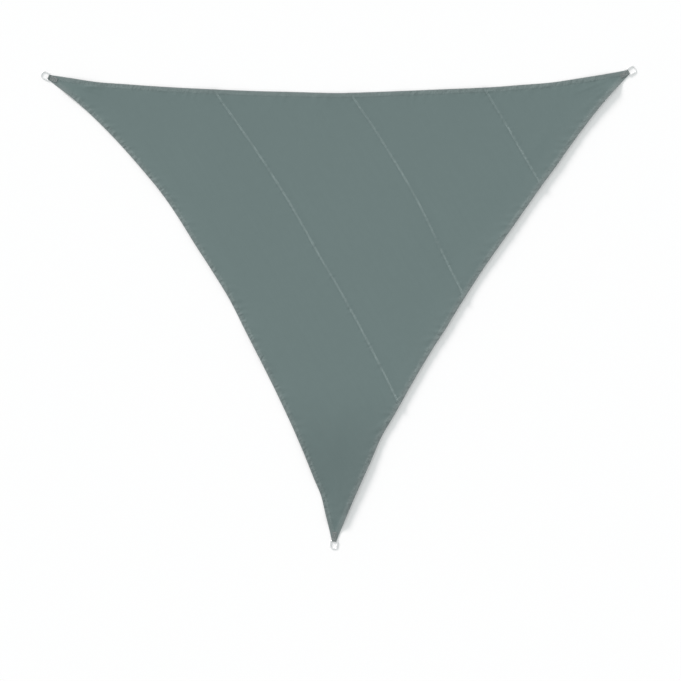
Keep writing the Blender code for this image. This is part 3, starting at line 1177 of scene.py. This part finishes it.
@dataclass(frozen=True)
class ClothPanel:
    """One length of cloth between two seams or ends of the sail, hem and laps included.

    Its mesh is a grid whose columns follow its left and right sides and whose rows
    follow the top and bottom ones. Its two faces meet along a half-round rim.
    """

    node: str
    over: Seam | None  # the seam on its left, where it lies on top; none beside the left edge
    under: Seam | None  # the seam on its right, where it lies below; none at the right corner
    lie: SailLie
    pitch: float

    @property
    def grain(self) -> Seam:
        """The seam along which it was cut from the roll."""
        return self.over or self.under

    def sides(self) -> tuple[Side, Side, Side, Side]:
        """Its left, right, top and bottom side.

        Returns:
            The sides. At the sail's left end, the top and the bottom one turn its corners.
        """
        top, bottom, left = (Side(edge.depth) for edge in EDGES)
        right = Side(RIGHT.depth, BLUNT_LINES)
        if self.over:
            left = Side(self.over.inside_upper, LAP_OVER_LINES)
        else:
            top = Side(turned_corner(TOP_EDGE, LEFT))
            bottom = Side(turned_corner(RIGHT_EDGE, FOOT))
        if self.under:
            right = Side(self.under.inside_lower, LAP_UNDER_LINES)
        return left, right, top, bottom

    def outline(self) -> tuple[Array, Array, Array, Array]:
        """Its top left, bottom left, top right and bottom right corner."""
        left = self.over.ends() if self.over else (LEFT.end(+1), FOOT.end(-1))
        right = self.under.ends() if self.under else (RIGHT.end(+1), RIGHT.end(-1))
        return *left, *right

    def rim_distance(self, points: Array) -> Array:
        """The true distance inside the nearest of its sides."""
        left = [self.over.inside_upper] if self.over else [LEFT_EDGE.depth, LEFT.depth, FOOT.depth]
        right = self.under.inside_lower if self.under else RIGHT.depth
        rims = (TOP_EDGE.depth, RIGHT_EDGE.depth, right, *left)
        return np.min([rim(points) for rim in rims], axis=0)

    def laws(self) -> tuple[LineLaw, LineLaw]:
        """The laws of the columns and of the rows, for spaces of about the pitch."""
        left, right, top, bottom = self.sides()
        corners = np.array(self.outline()).reshape(2, 2, 2)
        wide, tall = (
            round(np.linalg.norm(np.diff(corners, axis=axis), axis=-1).max() / self.pitch)
            for axis in (0, 1)
        )
        return LineLaw.between(left, right, wide), LineLaw.between(top, bottom, tall)

    def misses(self, points: Array, columns: LineLaw, rows: LineLaw) -> Array:
        """How far each grid point is off its column and off its row."""
        left, right, top, bottom = (side.inside(points) for side in self.sides())
        off_column = left - columns.distance(left + right)
        off_row = top - rows.distance((top + bottom).T).T
        return np.stack([off_column, off_row], axis=-1)

    def grid(self, longest: float = 0.25) -> Array:
        """Finds the points where the rows and columns cross.

        Newton's method on all points at once, from a bilinear guess between the outline's
        four corners, with the slopes taken by small differences.

        Args:
            longest: The furthest that a point moves at once, in metres.

        Returns:
            Points in plan, by row, column and axis.
        """
        columns, rows = self.laws()
        down = np.linspace(0, 1, len(rows.a))[:, None, None]
        across = np.linspace(0, 1, len(columns.a))[None, :, None]
        top_left, bottom_left, top_right, bottom_right = self.outline()
        points = (1 - down) * ((1 - across) * top_left + across * top_right)
        points = points + down * ((1 - across) * bottom_left + across * bottom_right)
        for _ in range(NEWTON_ROUNDS):
            here = self.misses(points, columns, rows)
            ahead = [self.misses(points + SMALL_STEP * axis, columns, rows) for axis in np.eye(2)]
            slopes = np.stack([(there - here) / SMALL_STEP for there in ahead], axis=-1)
            move = -np.linalg.solve(slopes, here[..., None])[..., 0]
            size = np.linalg.norm(move, axis=-1, keepdims=True)
            points = points + move * np.minimum(1, longest / np.maximum(size, 1e-12))
        left_over = np.abs(self.misses(points, columns, rows)).max()
        log.info("%s: rows %d, columns %d, off by %.1e m", self.node, *points.shape[:2], left_over)
        return points

    def heights(self, points: Array) -> tuple[Array, Array]:
        """The heights of the panel's face and underside, drawn together at its rim.

        With r half the thickness and e the distance inside the nearest side, each face
        stands sqrt(1 - (1 - e/r)^2) of r off the middle.

        Args:
            points: The grid, in plan.

        Returns:
            The face's and the underside's heights.
        """
        under = self.lie.bottom(points)
        if self.over:
            under = under + self.lie.lap_height(points, self.over)
        half = self.lie.thickness(points) / 2
        from_rim = 1 - np.clip(self.rim_distance(points) / half, 0, 1)
        stand = half * np.sqrt(np.clip(1 - from_rim**2, 0, 1))
        return under + half + stand, under + half - stand

    def hems(self) -> list[tuple[Edge, float, float]]:
        """Its stretches of hem, each by its edge and from t to t."""
        top_from, right_to = (self.over.top_t, self.over.right_t) if self.over else (0, 1)
        top_to, right_from = (self.under.top_t, self.under.right_t) if self.under else (1, 0)
        left = [] if self.over else [(LEFT_EDGE, 0, 1)]
        return [*left, (TOP_EDGE, top_from, top_to), (RIGHT_EDGE, right_from, right_to)]

    def flat_cut(self, points: Array) -> tuple[float, float, float]:
        """The size that the panel was cut to, with the cloth that its hem takes up.

        Args:
            points: The grid, in plan.

        Returns:
            Width across the roll, length along it, and area.
        """
        line, turned = self.grain.line(), self.lie.hem
        width, length = (float(np.ptp(points @ axis)) + turned for axis in (line.aside, line.along))
        diagonals = points[1:, 1:] - points[:-1, :-1], points[:-1, 1:] - points[1:, :-1]
        area = float(np.abs(np.cross(*diagonals)).sum() / 2)
        for edge, first, last in self.hems():
            area += turned * float(travelled(edge.points(np.linspace(first, last, 50)))[-1])
        return width, length, area

    def build(self, materials: dict[str, Material]) -> Piece:
        """Makes the panel.

        Args:
            materials: All the materials.

        Returns:
            The piece, with its flat cut kept on it.
        """
        points = self.grid()
        face, under = self.heights(points)
        inner = (slice(1, -1), slice(1, -1))
        upper = np.arange(face.size).reshape(face.shape)
        lower = upper.copy()
        lower[inner] = face.size + np.arange(face[inner].size).reshape(face[inner].shape)
        plan = np.concatenate([points.reshape(-1, 2), points[inner].reshape(-1, 2)])
        spots = np.column_stack([plan, np.concatenate([face.ravel(), under[inner].ravel()])])
        quads = np.concatenate([grid_quads(upper), grid_quads(lower)[:, ::-1]])
        roll = roll_map(*self.grain.line().place(plan)[::-1])
        piece = add_piece(f"cloth_{self.node}", spots, quads, roll)
        for name, values in ((MARKS, self.lie.marks), (PULLS, self.lie.pulls)):
            layer = piece.data.attributes.new(name, "FLOAT_VECTOR", "POINT")
            layer.data.foreach_set("vector", values(plan).astype(np.float32).ravel())
        piece["flat_cut"] = self.flat_cut(points)
        return dress(piece, materials["knitted_cloth"], replaces=self.node)


def all_panels(lie: SailLie) -> list[ClothPanel]:
    """The four panels, from left to right, with the widest mesh spaces in the longest."""
    nodes = ("panel_left", "panel_mid_left", "panel_mid_right", "panel_right")
    rows = zip(nodes, (None, *SEAMS), (*SEAMS, None), (0.0099, 0.009, 0.009, 0.009))
    return [ClothPanel(node, over, under, lie, pitch) for node, over, under, pitch in rows]


# Stitching


@dataclass(frozen=True)
class Stitch:
    """One lockstitch, from needle hole to needle hole: a thread that rises and dips again."""

    pitch: float = 0.0060
    length: float = 0.0047
    thread: float = 0.00042  # the thread's radius
    flattened: float = 0.80
    stations: tuple[float, ...] = (0.0, 0.22, 0.78, 1.0)
    rises: tuple[float, ...] = (-0.00050, 0.00022, 0.00022, -0.00050)
    girths: tuple[float, ...] = (0.55, 1.0, 1.0, 0.55)
    sides: int = 5
    uneven: float = 0.05  # how far the stitches differ in length and direction

    def row(self, path: Array, seed: int) -> tuple[Array, Array]:
        """Places stitches at an even pitch along a path in plan.

        Args:
            path: The path's points.
            seed: Of the small differences between stitches.

        Returns:
            The start and the end of each stitch.
        """
        count = int(travelled(path)[-1] / self.pitch)
        random = np.random.default_rng(seed)
        starts = (np.arange(count) + 0.5 * (1 - self.length / self.pitch)) * self.pitch
        stretch = 1 + self.uneven * random.uniform(-1, 1, count)
        first = along_curve(path, starts)
        last = along_curve(path, starts + self.length * stretch)
        run = last - first
        turned = left_of(run) * random.uniform(-1, 1, count)[:, None] * self.uneven / 2
        return first - turned, last + turned

    def mesh(self, first: Array, last: Array, face: Face) -> MeshData:
        """Makes every stitch as a short tube with a flattened round section.

        Both its ends are open, and dip below the face of the cloth.

        Args:
            first: Each stitch's start on the cloth, in space.
            last: Its end.
            face: The face on which it stands out.

        Returns:
            Points, faces and map coordinates.
        """
        run = last - first
        length = np.linalg.norm(run, axis=1, keepdims=True)
        ahead = run / length
        side = unit(np.cross([0.0, 0.0, face.value], ahead))
        out = np.cross(ahead, side)
        angles = np.linspace(0, TURN, self.sides, endpoint=False)
        share, rise, girth = (np.array(x) for x in (self.stations, self.rises, self.girths))
        radius = (girth * self.thread)[:, None]
        wide = (radius * np.cos(angles))[None, ..., None] * side[:, None, None]
        high = (rise[:, None] + radius * self.flattened * np.sin(angles))[None, ..., None]
        middle = first[:, None] + share[None, :, None] * run[:, None]
        points = middle[:, :, None] + wide + high * out[:, None, None]
        bands = tube_quads(len(share), self.sides)[:, ::-1]
        each = np.arange(len(first))[:, None, None] * len(share) * self.sides
        roll = roll_map(angles * self.thread, (share * length)[..., None])
        return points.reshape(-1, 3), (each + bands).reshape(-1, 4), roll


@dataclass(frozen=True)
class CurveStitching:
    """Rows of stitches along a hem or a seam, on both faces of the cloth."""

    name: str
    rows: list[Array]  # each row's path, in plan
    lie: SailLie
    stitch: Stitch = Stitch()

    def build(self, thread: Material) -> Piece:
        """Makes the stitching.

        Args:
            thread: The thread's material.

        Returns:
            The piece.
        """
        parts = []
        for number, path in enumerate(self.rows):
            ends = self.stitch.row(path, seed=number + 1)
            for face in Face:
                raised = (np.column_stack([end, self.lie.surface(end, face)]) for end in ends)
                parts.append(self.stitch.mesh(*raised, face))
        return dress(add_piece(self.name, *join(parts)), thread)


def mitre(edge: Edge, other: Edge, depth: float, corner: Corner) -> float:
    """Where along an edge a row of stitches meets the next edge's row.

    Newton's method finds the point that lies the same depth inside both edges.

    Args:
        edge: The edge along which the row runs.
        other: Its neighbour.
        depth: Distance inside both.
        corner: The corner between them.

    Returns:
        The place's t along the edge.
    """

    def misses(at: Array) -> Array:
        """How much deeper than wanted the point lies inside each edge."""
        return np.array([side.depth(at)[0] - depth for side in (edge, other)])

    point = (corner.middle - 2 * depth * corner.outward)[None]
    for _ in range(NEWTON_ROUNDS):
        here = misses(point)
        slopes = [(misses(point + SMALL_STEP * axis) - here) / SMALL_STEP for axis in np.eye(2)]
        point = point - np.linalg.solve(np.column_stack(slopes), here)
    return edge.place(point)[0][0]


def hem_stitching(number: int, lie: SailLie, points: int = 600) -> CurveStitching:
    """The rows along one edge's hem, mitred with its neighbours' at both corners."""
    edge, before, after = (EDGES[(number + step) % len(EDGES)] for step in (0, -1, 1))
    rows = []
    for depth in lie.hem_rows:
        ends = mitre(edge, before, depth, edge.start), mitre(edge, after, depth, edge.end)
        rows.append(edge.points(np.linspace(*ends, points), depth))
    return CurveStitching(f"hem_stitching_{edge.name}", rows, lie)


def seam_stitching(number: int, lie: SailLie, points: int = 900) -> CurveStitching:
    """The two rows of one lap seam, which stop at the margin inside both edges."""
    margin, rows = 0.026, []
    for offset in lie.seam_rows:
        whole = SEAMS[number].points(np.linspace(-0.02, 1.02, points), offset)
        rows.append(whole[(TOP_EDGE.depth(whole) > margin) & (RIGHT_EDGE.depth(whole) > margin)])
    return CurveStitching(f"seam_stitching_{number + 1}", rows, lie, Stitch(thread=0.00052))


# Corners


@dataclass(frozen=True)
class CornerWebbing:
    """A ribbon folded round the ring's bar, one tail under the cloth and one on its face."""

    corner: Corner
    width: float = 0.030
    thickness: float = 0.0015
    tail: float = 0.050
    loop_out: float = 0.010
    loop_settle: float = 0.012
    wire: float = 0.005
    gap: float = 0.0003
    hem_thickness: float = 0.0024
    edge_bead: float = 0.00012  # how much thicker the woven edges are
    face_lines: tuple[float, ...] = (0.42, 0.30, 0.15, 0.0, -0.15, -0.30, -0.42)  # in widths
    tail_points: int = 23
    turn_points: int = 37
    fall_points: int = 18
    sharp: float = 50.0  # edges that turn by more degrees than this stay sharp
    box: tuple[float, float, float] = (0.0455, 0.0060, 0.0110)  # far end, near end, half width
    stitch: Stitch = Stitch(pitch=0.0044, length=0.0035, thread=0.00055)

    @property
    def bar(self) -> tuple[float, float]:
        """The ring's bar, from the blunt end and from the floor."""
        radius = self.wire / 2 + self.gap + self.thickness
        return self.loop_out - radius, radius

    @property
    def upper_tail(self) -> float:
        """Height of the middle of the upper tail."""
        return 1.5 * self.thickness + 2 * self.gap + self.hem_thickness

    def path(self) -> Array:
        """The ribbon's middle: lower tail, half a turn round the bar, and down to the upper tail.

        Returns:
            Points along it, outward and up.
        """
        out, up = self.bar
        radius = up - self.thickness / 2
        angles = np.linspace(-math.pi / 2, math.pi / 2, self.turn_points)
        turn = np.column_stack([out + radius * np.cos(angles), up + radius * np.sin(angles)])
        share = np.linspace(0, 1, self.fall_points + 1)[1:]
        drop = (self.upper_tail - up - radius) * smooth_step(share)
        fall = np.column_stack([out - share * self.loop_settle, up + radius + drop])
        count = self.tail_points + 1
        lower = level(np.linspace(-self.tail, out, count)[:-1], self.thickness / 2)
        upper = level(np.linspace(fall[-1, 0], -self.tail, count)[1:], self.upper_tail)
        return np.concatenate([lower, turn, fall, upper])

    def section(self) -> Array:
        """The ribbon's section, across and through: two faces with rounded, beaded edges.

        Returns:
            Points round it, counter-clockwise.
        """
        half = self.thickness / 2
        angles = np.linspace(-math.pi / 2, math.pi / 2, len(self.face_lines))
        across = self.width / 2 - half + half * np.cos(angles)
        edge = np.column_stack([across, (half + self.edge_bead) * np.sin(angles)])
        face = level(np.array(self.face_lines) * self.width, half)
        return np.concatenate([edge, face, -edge, -face])

    def build(self, materials: dict[str, Material]) -> Piece:
        """Carries the section along the path and closes both ends.

        Args:
            materials: All the materials.

        Returns:
            The piece.
        """
        path, section = self.path(), self.section()
        ahead = unit(np.gradient(path, axis=0))
        lifted = path[:, None] + section[None, :, 1:] * left_of(ahead)[:, None]
        across = np.broadcast_to(section[:, 0], lifted.shape[:2])
        local = np.stack([lifted[..., 0], across, lifted[..., 1]], axis=-1)
        rows, around = across.shape
        k = np.arange(around // 2 - 1)
        strip = np.column_stack([k, k + 1, around - 2 - k, around - 1 - k])
        ends = [strip[:, ::-1], strip + (rows - 1) * around]
        quads = np.concatenate([tube_quads(rows, around), *ends])
        piece = add_piece(
            f"webbing_{self.corner.name}",
            self.corner.place(local).reshape(-1, 3),
            quads,
            roll_map(across, travelled(path)[:, None]),
        )
        piece.data.set_sharp_from_angle(angle=math.radians(self.sharp))
        node = f"strap_{self.corner.name}"
        return dress(piece, materials["woven_webbing"], replaces=node)

    def stitching(self, materials: dict[str, Material]) -> Piece:
        """Sews the tails down with a box and a cross.

        Args:
            materials: All the materials.

        Returns:
            The piece.
        """
        far, near, half = self.box
        spots = {"a": (-far, -half), "b": (-near, -half), "c": (-near, half), "d": (-far, half)}
        height = self.upper_tail + self.thickness / 2
        parts = []
        for number, (start, end) in enumerate(("ab", "bc", "cd", "da", "ac", "bd")):
            row = self.stitch.row(np.linspace(spots[start], spots[end], 40), seed=number + 1)
            ends = (self.corner.place(level(plan, height)) for plan in row)
            parts.append(self.stitch.mesh(*ends, Face.UPPER))
        piece = add_piece(f"box_stitching_{self.corner.name}", *join(parts))
        return dress(piece, materials["box_thread"])


@dataclass(frozen=True)
class CornerRing:
    """A D-ring of bent wire, hinged in the webbing's loop, with its far side on the floor."""

    webbing: CornerWebbing
    inside: float = 0.036
    reach: float = 0.048
    heel: float = 0.0045
    shoulder: float = 0.015
    sides: int = 28
    stations: int = 150
    weld_place: float = 0.4  # where the weld lies along a leg, as a share of the reach
    weld_swell: float = 0.13
    weld_length: float = 0.0016

    @property
    def wire(self) -> float:
        """The wire's thickness, for which the loop has room."""
        return self.webbing.wire

    def bend(self, out: float, side: int, radius: float, start: float) -> Array:
        """A quarter turn in one of the ring's four corners, from a start angle in degrees."""
        angles = np.radians(np.linspace(start, start + 90, 25))
        middle = side * ((self.inside + self.wire) / 2 - radius)
        return np.column_stack([out + radius * np.cos(angles), middle + radius * np.sin(angles)])

    def path(self) -> Array:
        """The wire's middle in the ring's own plane: bar, leg, round far side and leg.

        Returns:
            Evenly spaced points round it, beginning on the bar.
        """
        heel, shoulder, far = self.heel, self.shoulder, self.reach - self.shoulder
        bends = (
            self.bend(heel, -1, heel, 180),
            self.bend(far, -1, shoulder, 270),
            self.bend(far, +1, shoulder, 0),
            self.bend(heel, +1, heel, 90),
        )
        whole = np.concatenate([[[0.0, 0.0]], *bends, [[0.0, 0.0]]])
        spots = np.linspace(0, travelled(whole)[-1], self.stations, endpoint=False)
        return along_curve(whole, spots)

    def build(self, materials: dict[str, Material]) -> Piece:
        """Carries a round section along the path, with a low weld bead on one leg.

        Args:
            materials: All the materials.

        Returns:
            The piece.
        """
        path = self.path()
        ahead = unit(np.roll(path, -1, axis=0) - np.roll(path, 1, axis=0))
        weld = np.array([self.weld_place * self.reach, -(self.inside + self.wire) / 2])
        from_weld = np.linalg.norm(path - weld, axis=1)
        radius = self.wire / 2 * (1 + self.weld_swell * bell(from_weld / self.weld_length))
        around = np.linspace(0, TURN, self.sides, endpoint=False)
        wide, up = (radius[:, None] * part for part in (np.cos(around), np.sin(around)))
        flat = path[:, None] - wide[..., None] * left_of(ahead)[:, None]
        bar_out, bar_up = self.webbing.bar
        tip = math.asin((bar_up - self.wire / 2) / self.reach)
        out = bar_out + flat[..., 0] * math.cos(tip) + up * math.sin(tip)
        high = bar_up - flat[..., 0] * math.sin(tip) + up * math.cos(tip)
        local = np.stack([out, flat[..., 1], high], axis=-1)
        spacing = travelled(path)[-1] / (self.stations - 1)
        corner = self.webbing.corner
        piece = add_piece(
            f"wire_ring_{corner.name}",
            corner.place(local).reshape(-1, 3),
            tube_quads(self.stations, self.sides, joined=True),
            roll_map(around * self.wire / 2, spacing * np.arange(self.stations)[:, None]),
        )
        return dress(piece, materials["steel_wire"], replaces=f"ring_{corner.name}")


# Studio


@dataclass(frozen=True)
class Studio:
    """A plain white floor, even light from all round, and one soft low light from the left."""

    picture_middle: tuple[float, float] = (0.0123, -0.2024)
    picture_width: float = 4.177
    camera_height: float = 14.0
    sensor: float = 36.0
    sight: float = 200.0
    floor_half: float = 60.0
    sky: float = 0.850
    sky_colour: Colour = (0.970, 1.0, 1.0)
    key_strength: float = 3.35
    key_colour: Colour = (1.0, 0.925, 0.925)
    key_from: float = 130.0  # the low light's angle in plan, in degrees
    key_height: float = 18.0  # its angle above the floor
    key_spread: float = 13.5  # its own width, which softens the shadow

    def floor(self, material: Material) -> None:
        """Lays the floor just under the sail."""
        corners = self.floor_half * np.array([[-1, 1, 0], [-1, -1, 0], [1, -1, 0], [1, 1, 0]])
        piece = add_piece("floor", corners, np.array([[0, 1, 2, 3]]), corners[:, :2])
        piece.data.materials.append(material)
        piece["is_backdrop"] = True

    def light(self) -> None:
        """Sets the even light and the low one."""
        world = bpy.data.worlds.new("studio")
        world.use_nodes = True
        background = world.node_tree.nodes["Background"]
        background.inputs["Color"].default_value = (*self.sky_colour, 1.0)
        background.inputs["Strength"].default_value = self.sky
        bpy.context.scene.world = world
        lamp = bpy.data.lights.new("low_light", "SUN")
        lamp.energy = self.key_strength
        lamp.color = self.key_colour
        lamp.angle = math.radians(self.key_spread)
        holder = bpy.data.objects.new("low_light", lamp)
        turn = math.radians(self.key_from)
        holder.rotation_euler = (math.radians(90 - self.key_height), 0.0, turn + math.pi / 2)
        bpy.context.scene.collection.objects.link(holder)

    def camera(self) -> None:
        """Hangs the camera over the sail, so that the picture is as wide as it should be."""
        lens = bpy.data.cameras.new("overhead")
        lens.sensor_width = self.sensor
        lens.lens = self.sensor * self.camera_height / self.picture_width
        lens.clip_end = self.sight
        holder = bpy.data.objects.new("overhead", lens)
        holder.location = (*self.picture_middle, self.camera_height)
        scene = bpy.context.scene
        scene.collection.objects.link(holder)
        scene.camera = holder
        scene.view_settings.view_transform = "Standard"


SEWN_ON = {
    "panel_left": (
        "hem_stitching_left webbing_left box_stitching_left wire_ring_left "
        "webbing_foot box_stitching_foot wire_ring_foot"
    ),
    "panel_mid_left": "seam_stitching_1 hem_stitching_top",
    "panel_mid_right": "seam_stitching_2 hem_stitching_right",
    "panel_right": "seam_stitching_3 webbing_right box_stitching_right wire_ring_right",
}


def declare_sheets(panels: dict[str, Piece]) -> None:
    """Logs the size that each panel was cut to.

    Args:
        panels: The panels by their node.
    """
    for node, names in SEWN_ON.items():
        piece = panels[node]
        width, length, area = piece["flat_cut"]
        log.info("%s: cut %.3f x %.3f m, %.3f square metres", node, width, length, area)


def write_sizes() -> None:
    """Works out the frame's box and the dressed model's box side by side, without writing them."""
    boxes = {"cad": cad_box, "visual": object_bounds()}
    plain = {name: [list(corner) for corner in box] for name, box in boxes.items()}


def main() -> None:
    """Builds the sail and its studio."""
    logging.basicConfig(level=logging.INFO, format="%(message)s")
    lie = SailLie()
    materials = all_materials()
    panels = {panel.node: panel.build(materials) for panel in all_panels(lie)}
    rows = (hem_stitching, EDGES, "hem_thread"), (seam_stitching, SEAMS, "seam_thread")
    pieces = [
        stitching(number, lie).build(materials[thread])
        for stitching, lines, thread in rows
        for number in range(len(lines))
    ]
    for corner in CORNERS:
        webbing = CornerWebbing(corner)
        pieces += [webbing.build(materials), webbing.stitching(materials)]
        pieces.append(CornerRing(webbing).build(materials))
    declare_sheets(panels)
    studio = Studio()
    studio.floor(materials["white_floor"])
    studio.light()
    studio.camera()
    write_sizes()


if __name__ == "__main__":
    main()
